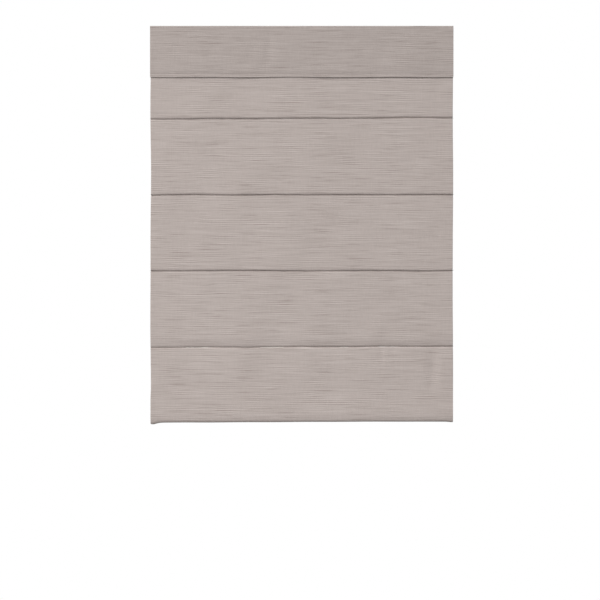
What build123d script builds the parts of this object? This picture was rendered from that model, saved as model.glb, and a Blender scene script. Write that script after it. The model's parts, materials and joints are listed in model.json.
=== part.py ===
from build123d import *
import os
from math import asin, cos, degrees, radians, sin

# Flat cordless roman blind, in millimetres. The front faces -Y, +X is to the right and +Z is up.
# The origin is the middle of the four bracket screw holes, on the top plane of the brackets.

# Whole blind
shade_width = 770.0
first_rib_drop = 236.5
rib_pitch = 193.2
rib_count = 4
last_panel_drop = 191.5
valance_drop = 131.5
valance_overhang = 0.9

# Clearances shared by the pieces
part_fit = 0.3
running_gap = 0.6
bearing_fit = 0.1
cut_overrun = 2.0

# Cloth
cloth_thickness = 0.9
layer_gap = 0.2
cloth_top_inset = 2.5
upper_lip_radius = 4.5
lower_lip_radius = 3.2
tuck_stitch_run = 1.5
tuck_gap = 1.8
hem_gap = 0.4
hem_seam = 7.0
hem_slope = 50.0

# Valance
valance_top_gap = 1.0
valance_gap = 2.2
valance_back_drop = 30.0
valance_hem = 14.0

# Hook and loop tapes
tape_thickness = 1.2
tape_height = 20.0
tape_top_inset = 6.0
tape_end_inset = 30.0

# Headrail
rail_height = 38.5
rail_wall = 1.2
rail_corner = 2.0
rail_lip = 6.0
rail_end_inset = 2.0
rail_cap_plate = 2.5
rail_cap_plug = 12.0
rail_cap_wall = 2.0

# Brackets
bracket_inset = 75.0
bracket_width = 32.0
bracket_thickness = 1.2
bracket_bend = 1.0
bracket_gap = 0.3
bracket_front_foot = 4.5
bracket_rear_foot = 3.0
screw_hole_radius = 2.25
screw_row_gap = 20.0

# Ribs and rings
rib_width = 7.5
rib_thickness = 1.0
rib_fit = 0.3
rib_end_reach = 1.5
ring_radius = 5.0
ring_band = 1.5
ring_height = 1.5
ring_sides = 12

# Lift cords
cord_radius = 0.6
cord_sides = 6
cord_inset = 150.0
cord_fit = 0.3
knot_radius = 1.5
knot_height = 3.0

# Lift shaft and spools
shaft_flats = 5.5
shaft_end_reach = 4.0
spool_length = 30.0
spool_core_radius = 7.0
spool_flange_radius = 10.0
spool_flange = 1.5
spool_ramp_length = 5.0
spool_ramp_rise = 1.2
journal_radius = 4.5
journal_reach = 1.0

# Spool cradles
moulding_wall = 2.0
upright_thickness = 3.0
upright_rim = 3.0
bearing_mouth_share = 0.8
cradle_end_reach = 3.0
snout_radius = 3.5
snout_bore_radius = 1.6
snout_reach = 1.2

# Spring motor
drum_length = 26.0
drive_core_radius = 6.5
drive_coil_room = 2.3
storage_core_radius = 4.0
storage_coil_room = 2.9
storage_journal_radius = 2.5
drum_gap = 0.8
spring_strip = 0.15
spring_wound_depth = 1.5
spring_left_depth = 0.45
cover_thickness = 2.0

# Bottom bar
bar_thickness = 10.0
bar_height = 38.0
bar_wall = 1.2
bar_end_inset = 3.0
bar_cap_plate = 2.0
bar_cap_plug = 14.0

# Cord anchors
anchor_plate_width = 16.0
anchor_plate_height = 12.0
anchor_plate = 1.2
anchor_arm_width = 6.0
anchor_height = 5.0

quarter_turn = 90.0
half_turn = 180.0

# Depths behind the front face of the headrail, from the cloth in front to the drums behind
cloth_front = -2 * tape_thickness - cloth_thickness
tuck_run = tuck_stitch_run + rib_width + 2 * rib_fit
tuck_back = cloth_front + upper_lip_radius + tuck_run + tuck_gap / 2 + cloth_thickness
cord_depth = tuck_back + part_fit + ring_radius
wind_radius = spool_core_radius + cord_fit + cord_radius
shaft_depth = cord_depth + wind_radius
drive_room_radius = drive_core_radius + drive_coil_room
storage_room_radius = storage_core_radius + storage_coil_room
drum_spacing = drive_room_radius + storage_room_radius + drum_gap
storage_depth = shaft_depth + drum_spacing
case_back = storage_depth + storage_room_radius + running_gap + moulding_wall
rail_depth = case_back + part_fit + max(rail_corner, rail_wall)

# Places in the frame of the blind
rail_front = -rail_depth / 2
front_y = rail_front + cloth_front
cord_y = rail_front + cord_depth
shaft_y = rail_front + shaft_depth
storage_y = rail_front + storage_depth
rail_top = -bracket_thickness - bracket_gap
rail_bottom = rail_top - rail_height
rail_inner = rail_depth - 2 * rail_wall
rail_floor = rail_bottom + rail_wall
lip_bottom = rail_top - rail_wall
cap_face_x = shade_width / 2 - rail_end_inset
rail_length = 2 * (cap_face_x - rail_cap_plate)
shaft_z = rail_floor + moulding_wall + running_gap + max(spool_flange_radius, drive_room_radius)
cloth_top = rail_top - cloth_top_inset
cord_x = shade_width / 2 - cord_inset
bracket_x = shade_width / 2 - bracket_inset
hem_radius = bar_thickness / 2 + hem_gap + cloth_thickness
bottom_z = -first_rib_drop - (rib_count - 1) * rib_pitch - last_panel_drop
roll_z = bottom_z + hem_radius
bar_y = front_y + hem_radius
bar_straight = bar_height - bar_thickness
bar_z = roll_z + bar_straight / 2
hem_back_y = front_y + 2 * hem_radius
hem_step = 2 * hem_radius - 2 * cloth_thickness - layer_gap
hem_bend_radius = hem_step / (2 * (1 - cos(radians(hem_slope))))
upright_inner_x = spool_length / 2 + running_gap
upright_outer_x = upright_inner_x + upright_thickness
journal_end_x = upright_outer_x + journal_reach
case_inner_length = drum_length + 2 * running_gap
case_length = case_inner_length + 2 * moulding_wall
case_front = shaft_y - drive_room_radius - running_gap - moulding_wall
case_rear = rail_front + case_back
case_top = shaft_z + drive_room_radius + running_gap
shaft_half_length = cord_x + journal_end_x + shaft_end_reach


def rib_z(number):
    return -first_rib_drop - (number - 1) * rib_pitch


# Profiles of bent sheet: a path of straight runs and tangent bends, given a thickness to its left

def run(length):
    return 0.0, length


def bend(angle, radius):
    return angle, radius


def sheet_side(start, heading, moves, shift):
    angle = radians(heading)
    here = Vector(start[0] - shift * sin(angle), start[1] + shift * cos(angle))
    edges = []
    for turn, size in moves:
        if turn == 0:
            there = here + Vector(cos(angle), sin(angle)) * size
            edges.append(Line(here, there))
        else:
            side = 1 if turn > 0 else -1
            radius = size - side * shift
            centre = here + Vector(-sin(angle), cos(angle)) * (side * radius)
            middle = angle + radians(turn) / 2
            angle = angle + radians(turn)
            halfway = centre + Vector(sin(middle), -cos(middle)) * (side * radius)
            there = centre + Vector(sin(angle), -cos(angle)) * (side * radius)
            edges.append(ThreePointArc(here, halfway, there))
        here = there
    return edges


def sheet_profile(start, heading, moves, near, far):
    near_side = sheet_side(start, heading, moves, near)
    far_side = sheet_side(start, heading, moves, far)
    ends = [Line(near_side[0] @ 0, far_side[0] @ 0), Line(near_side[-1] @ 1, far_side[-1] @ 1)]
    return Face(Wire([edge.edge() for edge in near_side + far_side + ends]))


def across(profile, from_x, to_x):
    return Pos(from_x, 0, 0) * extrude(Plane.YZ * profile, to_x - from_x, dir=(1, 0, 0))


def rounded(y, z, width, height, radius):
    return Pos(y, z) * RectangleRounded(width, height, radius)


def stadium(y, z, thickness, height):
    return Pos(y, z) * SlotOverall(height, thickness, rotation=quarter_turn)


def disc(y, z, radius):
    return Pos(y, z) * Circle(radius)


def block(x, y, z):
    low, size = (x[0], y[0], z[0]), (x[1] - x[0], y[1] - y[0], z[1] - z[0])
    return Pos(*low) * Box(*size, align=Align.MIN)


def upright_rod(x, y, low, high, radius):
    return Pos(x, y, low) * Cylinder(radius, high - low, align=(Align.CENTER, Align.CENTER, Align.MIN))


def turned(points, y, z):
    shape = revolve(Plane.XZ * make_face(Polyline(*points, close=True)), Axis.X)
    return Pos(0, y, z) * shape


def other_side(piece):
    return mirror(piece, about=Plane.YZ)


# Headrail, end caps and brackets

def make_headrail():
    wall_run = rail_height - 2 * rail_corner
    floor_run = rail_depth - 2 * rail_corner
    lip_run = rail_lip + rail_wall - rail_corner
    corner = bend(quarter_turn, rail_corner)
    moves = [run(lip_run), corner, run(wall_run), corner, run(floor_run), corner, run(wall_run), corner,
             run(lip_run)]
    start = (rail_front + rail_corner + lip_run, rail_top)
    rail = across(sheet_profile(start, half_turn, moves, 0, rail_wall), -rail_length / 2, rail_length / 2)
    for x in (-cord_x, cord_x):
        rail -= upright_rod(x, cord_y, rail_bottom - cut_overrun, rail_floor + cut_overrun,
                            snout_radius + bearing_fit)
    return rail


def make_headrail_cap():
    middle_z = rail_bottom + rail_height / 2
    plate = across(rounded(0, middle_z, rail_depth, rail_height, rail_corner),
                   cap_face_x - rail_cap_plate, cap_face_x)
    plug_width = rail_inner - 2 * part_fit
    plug_height = lip_bottom - rail_floor - 2 * part_fit
    plug_z = (lip_bottom + rail_floor) / 2
    plug = rounded(0, plug_z, plug_width, plug_height, rail_corner)
    hollow = Pos(0, plug_z) * Rectangle(plug_width - 2 * rail_cap_wall, plug_height - 2 * rail_cap_wall)
    return plate + across(plug - hollow, cap_face_x - rail_cap_plate - rail_cap_plug,
                          cap_face_x - rail_cap_plate)


def make_bracket():
    leg_y = rail_inner / 2 - rail_lip - part_fit
    foot_z = lip_bottom - bracket_gap
    bend_outer = bracket_bend + bracket_thickness
    leg_run = -foot_z - bracket_bend - bend_outer
    plate_run = 2 * (leg_y - bend_outer)
    moves = [run(bracket_front_foot), bend(quarter_turn, bracket_bend), run(leg_run),
             bend(-quarter_turn, bend_outer), run(plate_run),
             bend(-quarter_turn, bend_outer), run(leg_run),
             bend(quarter_turn, bracket_bend), run(bracket_rear_foot)]
    start = (-leg_y - bracket_bend - bracket_front_foot, foot_z)
    profile = sheet_profile(start, 0, moves, 0, -bracket_thickness)
    plate = across(profile, bracket_x - bracket_width / 2, bracket_x + bracket_width / 2)
    for y in (-screw_row_gap / 2, screw_row_gap / 2):
        plate -= upright_rod(bracket_x, y, -bracket_thickness - cut_overrun, cut_overrun, screw_hole_radius)
    return plate


# Cloth, valance and tapes

def make_face_cloth():
    upper = tuck_gap / 2 + upper_lip_radius
    lower = tuck_gap / 2 + lower_lip_radius
    tuck = [bend(quarter_turn, upper_lip_radius), run(tuck_run), bend(-half_turn, tuck_gap / 2),
            run(tuck_run + upper_lip_radius - lower_lip_radius), bend(quarter_turn, lower_lip_radius)]
    hem = [bend(half_turn, hem_radius), run(bar_straight), bend(hem_slope, hem_bend_radius),
           bend(-hem_slope, hem_bend_radius), run(hem_seam)]
    moves = []
    here = cloth_top
    for number in range(1, rib_count + 1):
        moves += [run(here - rib_z(number) - upper)] + tuck
        here = rib_z(number) - lower
    moves += [run(here - roll_z)] + hem
    profile = sheet_profile((front_y, cloth_top), -quarter_turn, moves, 0, cloth_thickness)
    return across(profile, -shade_width / 2, shade_width / 2)


def make_valance():
    back_y = front_y - layer_gap
    crown_radius = (2 * cloth_thickness + valance_gap) / 2
    hem_bend = (2 * cloth_thickness + layer_gap) / 2
    crown_z = -valance_top_gap - crown_radius
    moves = [run(valance_back_drop), bend(half_turn, crown_radius),
             run(crown_z + valance_drop - hem_bend), bend(half_turn, hem_bend), run(valance_hem - hem_bend)]
    profile = sheet_profile((back_y, crown_z - valance_back_drop), quarter_turn, moves, 0, cloth_thickness)
    half_width = shade_width / 2 + valance_overhang
    return across(profile, -half_width, half_width)


def make_tape(front):
    half_length = shade_width / 2 - tape_end_inset
    top = rail_top - tape_top_inset
    return block((-half_length, half_length), (front, front + tape_thickness), (top - tape_height, top))


# Lift shaft, spools, cradles and cords

def hex_bore():
    return Plane.YZ * (Pos(shaft_y, shaft_z) * RegularPolygon(
        shaft_flats / 2 + bearing_fit, 6, major_radius=False))


def make_lift_shaft():
    section = Pos(shaft_y, shaft_z) * RegularPolygon(shaft_flats / 2, 6, major_radius=False)
    return across(section, -shaft_half_length, shaft_half_length)


def make_lift_spool():
    end = spool_length / 2
    core_end = end - spool_flange
    points = [(-journal_end_x, 0), (-journal_end_x, journal_radius), (-end, journal_radius),
              (-end, spool_flange_radius), (-core_end, spool_flange_radius), (-core_end, spool_core_radius),
              (core_end - spool_ramp_length, spool_core_radius),
              (core_end, spool_core_radius + spool_ramp_rise), (core_end, spool_flange_radius),
              (end, spool_flange_radius), (end, journal_radius), (journal_end_x, journal_radius),
              (journal_end_x, 0)]
    spool = turned(points, shaft_y, shaft_z)
    spool -= extrude(hex_bore(), journal_end_x + cut_overrun, both=True)
    return Pos(cord_x, 0, 0) * spool


def make_lift_spools():
    spool = make_lift_spool()
    return Compound([spool, other_side(spool)])


def bearing(y, radius):
    mouth = 2 * radius * bearing_mouth_share
    slot = Pos(y, shaft_z) * Rectangle(mouth, radius + upright_rim + cut_overrun,
                                       align=(Align.CENTER, Align.MIN))
    return disc(y, shaft_z, radius) + slot


def make_spool_cradle():
    half_length = upright_outer_x + cradle_end_reach
    half_width = rail_depth / 2 - max(rail_corner, rail_wall) - part_fit
    cradle = block((-half_length, half_length), (-half_width, half_width),
                   (rail_floor, rail_floor + moulding_wall))
    post_width = 2 * (journal_radius + bearing_fit + upright_rim)
    post_height = shaft_z + journal_radius + upright_rim - rail_floor
    post = Pos(shaft_y, rail_floor) * Rectangle(post_width, post_height, align=(Align.CENTER, Align.MIN))
    profile = post - bearing(shaft_y, journal_radius + bearing_fit)
    cradle += across(profile, upright_inner_x, upright_outer_x)
    cradle += across(profile, -upright_outer_x, -upright_inner_x)
    snout_bottom = rail_bottom - snout_reach
    cradle += upright_rod(0, cord_y, snout_bottom, rail_floor, snout_radius)
    cradle -= upright_rod(0, cord_y, snout_bottom - cut_overrun, rail_floor + moulding_wall + cut_overrun,
                          snout_bore_radius)
    return Pos(cord_x, 0, 0) * cradle


def cord_length(low, high, radius):
    section = Pos(cord_x, cord_y, low) * RegularPolygon(radius, cord_sides)
    return extrude(section, high - low)


def make_lift_cord():
    knot_top = bar_z - anchor_height / 2 - part_fit
    knot_bottom = knot_top - knot_height
    section = Pos(cord_x, cord_y, shaft_z) * RegularPolygon(cord_radius, cord_sides)
    wrap = revolve(section, Axis((0, shaft_y, shaft_z), (-1, 0, 0)), half_turn)
    hang = cord_length(knot_bottom, shaft_z, cord_radius)
    return hang + wrap + cord_length(knot_bottom, knot_top, knot_radius)


# Spring motor

def make_drum(core_radius, axle_radius, y):
    end = drum_length / 2
    axle_end = case_length / 2 + journal_reach
    points = [(-axle_end, 0), (-axle_end, axle_radius), (-end, axle_radius), (-end, core_radius),
              (end, core_radius), (end, axle_radius), (axle_end, axle_radius), (axle_end, 0)]
    return turned(points, y, shaft_z)


def make_drive_drum():
    drum = make_drum(drive_core_radius, journal_radius, shaft_y)
    return drum - extrude(hex_bore(), case_length + cut_overrun, both=True)


def make_storage_drum():
    return make_drum(storage_core_radius, storage_journal_radius, storage_y)


def axle_slot(y, radius):
    half = case_length / 2 + cut_overrun
    hole = across(disc(y, shaft_z, radius), -half, half)
    return hole + block((-half, half), (y - radius, y + radius), (shaft_z, case_top + cut_overrun))


def make_motor_case():
    half = case_length / 2
    case = block((-half, half), (case_front, case_rear), (rail_floor, case_top))
    inner = case_inner_length / 2
    case -= block((-inner, inner), (case_front + moulding_wall, case_rear - moulding_wall),
                  (rail_floor + moulding_wall, case_top + cut_overrun))
    case -= axle_slot(shaft_y, journal_radius + bearing_fit)
    return case - axle_slot(storage_y, storage_journal_radius + bearing_fit)


def make_motor_cover():
    half = case_length / 2
    inner = case_inner_length / 2
    cover = block((-half, half), (case_front, case_rear), (case_top, case_top + cover_thickness))
    for y, radius in ((shaft_y, journal_radius), (storage_y, storage_journal_radius)):
        sides = (y - radius, y + radius)
        for x in ((-half, -inner), (inner, half)):
            cover += block(x, sides, (shaft_z + radius + running_gap, case_top))
    return cover


def make_motor_spring():
    half = drum_length / 2 - part_fit
    drive_inner = drive_core_radius + spring_strip
    storage_inner = storage_core_radius + spring_strip
    drive_outer = drive_inner + spring_wound_depth
    storage_outer = storage_inner + spring_left_depth
    slant = asin((drive_outer + storage_outer - spring_strip) / drum_spacing)
    drive_line = drive_outer - spring_strip / 2
    start = (shaft_y + drive_line * sin(slant), shaft_z + drive_line * cos(slant))
    strip = sheet_profile(start, -degrees(slant), [run(drum_spacing * cos(slant))],
                          -spring_strip / 2, spring_strip / 2)
    coils = (disc(shaft_y, shaft_z, drive_outer) - disc(shaft_y, shaft_z, drive_inner),
             disc(storage_y, shaft_z, storage_outer) - disc(storage_y, shaft_z, storage_inner))
    spring = across(coils[0], -half, half) + across(strip, -half, half)
    return spring + across(coils[1], -half, half)


# Ribs, rings and bottom bar

def make_rib(number):
    z = rib_z(number)
    near = front_y + upper_lip_radius + tuck_stitch_run + rib_fit
    half_length = shade_width / 2 + rib_end_reach
    return block((-half_length, half_length), (near, near + rib_width),
                 (z - rib_thickness / 2, z + rib_thickness / 2))


def make_cord_rings(number):
    hoop = RegularPolygon(ring_radius, ring_sides) - RegularPolygon(ring_radius - ring_band, ring_sides)
    ring = extrude(hoop, ring_height / 2, both=True)
    return Compound([Pos(x, cord_y, rib_z(number)) * ring for x in (-cord_x, cord_x)])


def make_bottom_bar():
    outer = stadium(bar_y, bar_z, bar_thickness, bar_height)
    inner = stadium(bar_y, bar_z, bar_thickness - 2 * bar_wall, bar_height - 2 * bar_wall)
    half_length = shade_width / 2 - bar_end_inset
    return across(outer - inner, -half_length, half_length)


def make_bottom_bar_cap():
    bar_end = shade_width / 2 - bar_end_inset
    tongue = Pos(bar_y, bar_z) * Rectangle(bar_thickness - 2 * bar_wall - 2 * bearing_fit, bar_straight)
    plate = stadium(bar_y, bar_z, bar_thickness, bar_height)
    return across(plate, bar_end, bar_end + bar_cap_plate) + across(tongue, bar_end - bar_cap_plug, bar_end)


def make_cord_anchor():
    plate_y = hem_back_y + part_fit
    half_height = anchor_height / 2
    low, high = bar_z - half_height, bar_z + half_height
    plate = block((cord_x - anchor_plate_width / 2, cord_x + anchor_plate_width / 2),
                  (plate_y, plate_y + anchor_plate),
                  (bar_z - anchor_plate_height / 2, bar_z + anchor_plate_height / 2))
    arm = block((cord_x - anchor_arm_width / 2, cord_x + anchor_arm_width / 2),
                (plate_y, cord_y + anchor_arm_width / 2), (low, high))
    bore = upright_rod(cord_x, cord_y, low - cut_overrun, high + cut_overrun, cord_radius + cord_fit)
    return plate + arm - bore


pieces = {
    "headrail": make_headrail(),
    "hook_tape": make_tape(rail_front - tape_thickness),
    "loop_tape": make_tape(rail_front - 2 * tape_thickness),
    "face_cloth": make_face_cloth(),
    "valance": make_valance(),
    "lift_shaft": make_lift_shaft(),
    "lift_spools": make_lift_spools(),
    "drive_drum": make_drive_drum(),
    "storage_drum": make_storage_drum(),
    "motor_case": make_motor_case(),
    "motor_cover": make_motor_cover(),
    "motor_spring": make_motor_spring(),
    "bottom_bar": make_bottom_bar(),
}
pairs = {
    "headrail_cap": make_headrail_cap(),
    "bracket": make_bracket(),
    "spool_cradle": make_spool_cradle(),
    "lift_cord": make_lift_cord(),
    "bottom_bar_cap": make_bottom_bar_cap(),
    "cord_anchor": make_cord_anchor(),
}
for name, piece in pairs.items():
    pieces[name + "_right"] = piece
    pieces[name + "_left"] = other_side(piece)
for number in range(1, rib_count + 1):
    pieces["rib_%d" % number] = make_rib(number)
    pieces["cord_rings_%d" % number] = make_cord_rings(number)

os.makedirs("parts", exist_ok=True)
for name, piece in pieces.items():
    export_step(piece, "parts/%s.step" % name)
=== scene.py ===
import json
from math import cos, pi, radians, sin

import bpy
import numpy as np
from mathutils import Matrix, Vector


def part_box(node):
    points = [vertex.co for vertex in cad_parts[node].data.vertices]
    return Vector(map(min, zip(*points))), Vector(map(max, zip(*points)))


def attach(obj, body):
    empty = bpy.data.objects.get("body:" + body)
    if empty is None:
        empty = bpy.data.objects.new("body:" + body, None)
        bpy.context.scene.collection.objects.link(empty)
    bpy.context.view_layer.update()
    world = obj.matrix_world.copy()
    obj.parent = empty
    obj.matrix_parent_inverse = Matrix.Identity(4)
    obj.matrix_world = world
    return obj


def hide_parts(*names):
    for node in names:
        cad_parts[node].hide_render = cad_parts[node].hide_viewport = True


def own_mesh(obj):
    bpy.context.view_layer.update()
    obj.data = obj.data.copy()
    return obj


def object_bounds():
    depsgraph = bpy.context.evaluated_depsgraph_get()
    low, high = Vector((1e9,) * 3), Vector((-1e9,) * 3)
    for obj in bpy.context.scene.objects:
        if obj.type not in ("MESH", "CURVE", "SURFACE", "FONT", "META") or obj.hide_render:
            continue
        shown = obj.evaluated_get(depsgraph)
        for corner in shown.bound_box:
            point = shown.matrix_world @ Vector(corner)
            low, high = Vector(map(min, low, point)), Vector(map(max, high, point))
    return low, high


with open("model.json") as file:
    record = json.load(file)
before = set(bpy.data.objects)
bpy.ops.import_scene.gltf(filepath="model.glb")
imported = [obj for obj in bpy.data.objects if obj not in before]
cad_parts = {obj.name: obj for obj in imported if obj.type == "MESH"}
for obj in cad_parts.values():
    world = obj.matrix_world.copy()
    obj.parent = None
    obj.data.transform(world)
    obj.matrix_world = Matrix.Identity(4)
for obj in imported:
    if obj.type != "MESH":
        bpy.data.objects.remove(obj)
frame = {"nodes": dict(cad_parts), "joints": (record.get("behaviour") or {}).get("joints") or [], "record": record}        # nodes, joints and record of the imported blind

mm = 0.001
cadLow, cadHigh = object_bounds()
print("frame loaded:", len(frame["nodes"]), "nodes")


# Camera and light

studio = {
    "pixelSize": 2.545 * mm,         # at the cloth, in a frame 600 pixels wide
    "framePixels": 600,
    "topPixel": 26.0,                # upper edge of the valance in the frame
    "middlePixel": 301.75,           # middle of the cloth in the frame
    "cameraDistance": 6.0,
    "sensor": 36.0,
    "floorDrop": 0.9,                # below the hem of the lowered blind
    "floorRadius": 2.6,
    "floorFade": (0.25, 0.95),       # shares of the radius between which the floor thins out
    "floorGrain": 90.0,
    "floorShade": (0.86, 0.86, 0.855),
    "floorLight": (0.9, 0.9, 0.895),
    "floorBounce": (0.18, 0.18, 0.18),   # what the floor throws back at the blind
    "keyFrom": (-3.0, -5.3, 3.5),    # a broad even light, high on the left
    "keyAngle": 24.0,
    "keyStrength": 2.18,
    # soft lamps: place, size and power
    "fillLight": ((-3.0, -3.2, -0.1), 2.4, 60.0),
    "backLight": ((1.7, 4.8, 0.3), 2.6, 170.0),      # lights the back of the blind
    "skyLight": 0.45,
    "groundLight": 0.08,
}

noiseMiddle = 0.5


class Wire:
    # a socket whose operators add Math nodes to its graph
    def __init__(self, graph, socket):
        self.graph = graph
        self.socket = socket

    def maths(self, operation, first, second):
        return self.graph.add("ShaderNodeMath", {"operation": operation}, {0: first, 1: second})

    def __add__(self, other):
        return self.maths("ADD", self, other)

    __radd__ = __add__

    def __sub__(self, other):
        return self.maths("SUBTRACT", self, other)

    def __rsub__(self, other):
        return self.maths("SUBTRACT", other, self)

    def __mul__(self, other):
        return self.maths("MULTIPLY", self, other)

    __rmul__ = __mul__


class Graph:
    # one node tree: add() makes any node, settings first and then its sockets
    def __init__(self, tree):
        self.tree = tree

    def add(self, kind, settings=None, inputs=None, output=0):
        node = self.tree.nodes.new(kind)
        for name, value in (settings or {}).items():
            setattr(node, name, value)
        for name, value in (inputs or {}).items():
            self.feed(node.inputs[name], value)
        return Wire(self, node.outputs[output])

    def feed(self, socket, value):
        if isinstance(value, Wire):
            self.tree.links.new(value.socket, socket)
        else:
            socket.default_value = value

    def sine(self, angle):
        return self.add("ShaderNodeMath", {"operation": "SINE"}, {0: angle})

    def stepped(self, value, pitch):
        return self.add("ShaderNodeMath", {"operation": "SNAP"}, {0: value, 1: pitch})

    def clamped(self, value, low, high):
        return self.add("ShaderNodeMapRange", {"clamp": True}, {0: value, 1: low, 2: high, 3: 0.0, 4: 1.0})

    def vector(self, x, y, z):
        return self.add("ShaderNodeCombineXYZ", inputs={0: x, 1: y, 2: z})

    def grain(self, x, y, z, detail=2.0, roughness=0.5):
        return self.add("ShaderNodeTexNoise", inputs={
            "Vector": self.vector(x, y, z), "Scale": 1.0, "Detail": detail, "Roughness": roughness})

    def weighted(self, shares, parts, start=0.0):
        total = start
        for name, share in shares.items():
            total = total + parts[name] * share
        return total

    def blended(self, share, first, second):
        return self.add("ShaderNodeMix", {"data_type": "RGBA"}, {0: share, 6: first, 7: second}, output=2)

    def bumped(self, height, distance):
        return self.add("ShaderNodeBump", inputs={"Height": height, "Distance": distance, "Strength": 1.0})


class Finish(Graph):
    # a material with its Principled shader and the axes of its piece
    def __init__(self, name):
        self.material = bpy.data.materials.new(name)
        self.material.use_nodes = True
        super().__init__(self.material.node_tree)
        self.shader = self.tree.nodes["Principled BSDF"]
        coords = self.add("ShaderNodeTexCoord", output="Object")
        split = self.add("ShaderNodeSeparateXYZ", inputs={0: coords}).socket.node
        self.axes = [Wire(self, socket) for socket in split.outputs]

    def grainIn(self, steps, detail=2.0):
        # noise with so many steps a metre, the same all ways or along x, y and z
        steps = np.broadcast_to(steps, 3).tolist()
        return self.grain(*(axis * step for axis, step in zip(self.axes, steps)), detail)

    def cells(self, steps, output):
        return self.add("ShaderNodeTexVoronoi", inputs={
            "Vector": self.vector(*self.axes), "Scale": steps}, output=output)

    def paint(self, **sockets):
        for name, value in sockets.items():
            self.feed(self.shader.inputs[name.replace("_", " ")], value)
        return self.material


def solidColour(red, green, blue):
    return (red, green, blue, 1.0)


def setUpCamera():
    low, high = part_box("face_cloth")
    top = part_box("valance")[1].z
    half = studio["framePixels"] / 2
    pixel, distance = studio["pixelSize"], studio["cameraDistance"]
    data = bpy.data.cameras.new("frontCamera")
    data.sensor_width = studio["sensor"]
    data.lens = studio["sensor"] * distance / (studio["framePixels"] * pixel)
    data.dof.use_dof = False
    camera = bpy.data.objects.new("frontCamera", data)
    bpy.context.scene.collection.objects.link(camera)
    camera.location = (
        (low.x + high.x) / 2 + (half - studio["middlePixel"]) * pixel,
        low.y - distance,
        top - (half - studio["topPixel"]) * pixel)
    camera.rotation_euler = (pi / 2, 0, 0)
    bpy.context.scene.camera = camera


def addLamp(name, kind, place, strength, target):
    data = bpy.data.lights.new(name, kind)
    data.energy = strength
    lamp = bpy.data.objects.new(name, data)
    lamp.location = place
    lamp.rotation_euler = (target - Vector(place)).to_track_quat("-Z", "Y").to_euler()
    bpy.context.scene.collection.objects.link(lamp)
    return data


def seenRay(graph):
    # 1 for rays that show the background to the camera, also through gloss and clear pieces
    rays = graph.add("ShaderNodeLightPath").socket.node
    seen = Wire(graph, rays.outputs["Is Camera Ray"])
    for name in ("Is Glossy Ray", "Is Transmission Ray"):
        seen = seen + Wire(graph, rays.outputs[name])
    return graph.clamped(seen, 0.0, 1.0)


def setUpLights():
    middle = (cadLow + cadHigh) / 2
    key = addLamp("keyLight", "SUN", studio["keyFrom"], studio["keyStrength"], middle)
    key.angle = radians(studio["keyAngle"])
    for name in ("fillLight", "backLight"):
        place, size, power = studio[name]
        lamp = addLamp(name, "AREA", place, power, middle)
        lamp.shape, lamp.size = "DISK", size
    world = bpy.data.worlds.new("paleStudio")
    world.use_nodes = True
    bpy.context.scene.world = world
    graph = Graph(world.node_tree)
    direction = graph.add("ShaderNodeTexCoord", output="Generated")
    up = graph.add("ShaderNodeSeparateXYZ", inputs={0: direction}, output=2)
    level = graph.clamped(up, -1.0, 1.0)
    ground = studio["groundLight"]
    strength = level * (studio["skyLight"] - ground) + ground
    seen = seenRay(graph)
    background = world.node_tree.nodes["Background"]
    graph.feed(background.inputs["Color"], solidColour(1, 1, 1))
    graph.feed(background.inputs["Strength"], seen + (1 - seen) * strength)


def makeFloor():
    finish = Finish("paleFloor")
    x, y, z = finish.axes
    spread = finish.vector(x, y, 0.0)
    away = finish.add("ShaderNodeVectorMath", {"operation": "LENGTH"}, {0: spread}, output="Value")
    edge = finish.clamped(away, *(studio["floorRadius"] * share for share in studio["floorFade"]))
    speckle = finish.grain(x * studio["floorGrain"], y * studio["floorGrain"], z, 3.0)
    pale = finish.blended(speckle, solidColour(*studio["floorShade"]), solidColour(*studio["floorLight"]))
    colour = finish.blended(seenRay(finish), solidColour(*studio["floorBounce"]), pale)
    finish.paint(Base_Color=colour, Roughness=0.8, Alpha=1 - edge)
    bpy.ops.mesh.primitive_circle_add(
        vertices=96, radius=studio["floorRadius"], fill_type="NGON",
        location=(0, 0, cadLow.z - studio["floorDrop"]))
    floor = bpy.context.object
    floor.name = "paleFloor"
    floor.data.materials.append(finish.material)


bpy.context.scene.view_settings.view_transform = "Standard"
setUpCamera()
setUpLights()
makeFloor()
print("camera, lights and floor ready")


# Cloth finishes

weave = {
    "shade": solidColour(0.340, 0.285, 0.262),
    "light": solidColour(0.585, 0.520, 0.490),
    # painted shade: the valance's copy of the cloth is darkened to stand in for shade from a window head
    # above it
    "valancePaintedShade": 0.91,
    "rowPitch": 5.09 * mm,           # the thick weft rows that show from a step away
    "rowStart": 1.47,
    "rowDrift": 4.5,
    "threadPitch": 1.03 * mm,
    "threadWander": 1.0 * mm,
    "warpPitch": 0.85 * mm,
    # noise: steps a metre along and across the weft, then its slice, detail and roughness
    "grains": {
        "drift": (5, 12, 0.0),
        "patches": (14, 48, 3.0),
        "slubs": (6, 450, 7.0, 4.0, 0.6),
        "heavy": (11, 400, 29.0, 1.0),
        "ticks": (330, 50, 17.0, 1.0),
        "ends": (900, 9, 41.0, 1.0),
    },
    "clouds": (7, 3, 5),
    "patchRange": (0.44, 0.70),
    "heavyRange": (0.58, 0.76),
    # shares of each part in the colour and in the relief
    "level": 0.56,
    # threads and checks put the weave's thread pattern into the colour, with painted shade in the gaps
    # between the threads
    "tone": {"rows": 0.40, "slubs": 1.2, "heavy": -0.5, "ticks": 0.18, "ends": 0.16,
             "clouds": 0.10, "threads": 0.05, "checks": 0.05},
    "relief": {"checks": 0.35, "threads": 0.5, "slubs": 2.0, "heavy": 0.8, "rows": 0.7},
    "bump": 0.12 * mm,
}

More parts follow.
